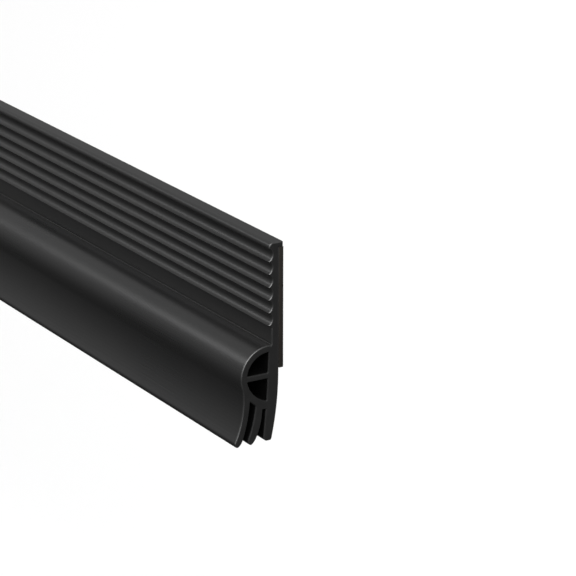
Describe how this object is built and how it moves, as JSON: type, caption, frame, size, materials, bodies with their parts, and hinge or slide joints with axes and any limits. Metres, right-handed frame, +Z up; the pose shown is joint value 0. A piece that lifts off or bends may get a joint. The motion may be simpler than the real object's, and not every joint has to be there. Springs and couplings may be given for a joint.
{
  "type": "under-door draught stopper",
  "caption": "Black silicone door-bottom strip with a ribbed stick-on flange, a hollow D-shaped bulb with a web in it, and curved sealing fins below the bulb.",
  "frame": {"origin": "middle of the tape's outer face, the face that sticks to the door", "axes": "+X along the strip, +Y out of the tape's outer face towards the door, +Z up"},
  "size_m": [1, 0.0121, 0.0449],
  "materials": {
    "silicone_rubber": "satin black, as extruded",
    "tape_foam": "matt dark grey foam with tacky faces"
  },
  "bodies": {
    "root": {"silicone_profile": "silicone_rubber", "adhesive_tape": "tape_foam"}
  },
  "joints": []
}
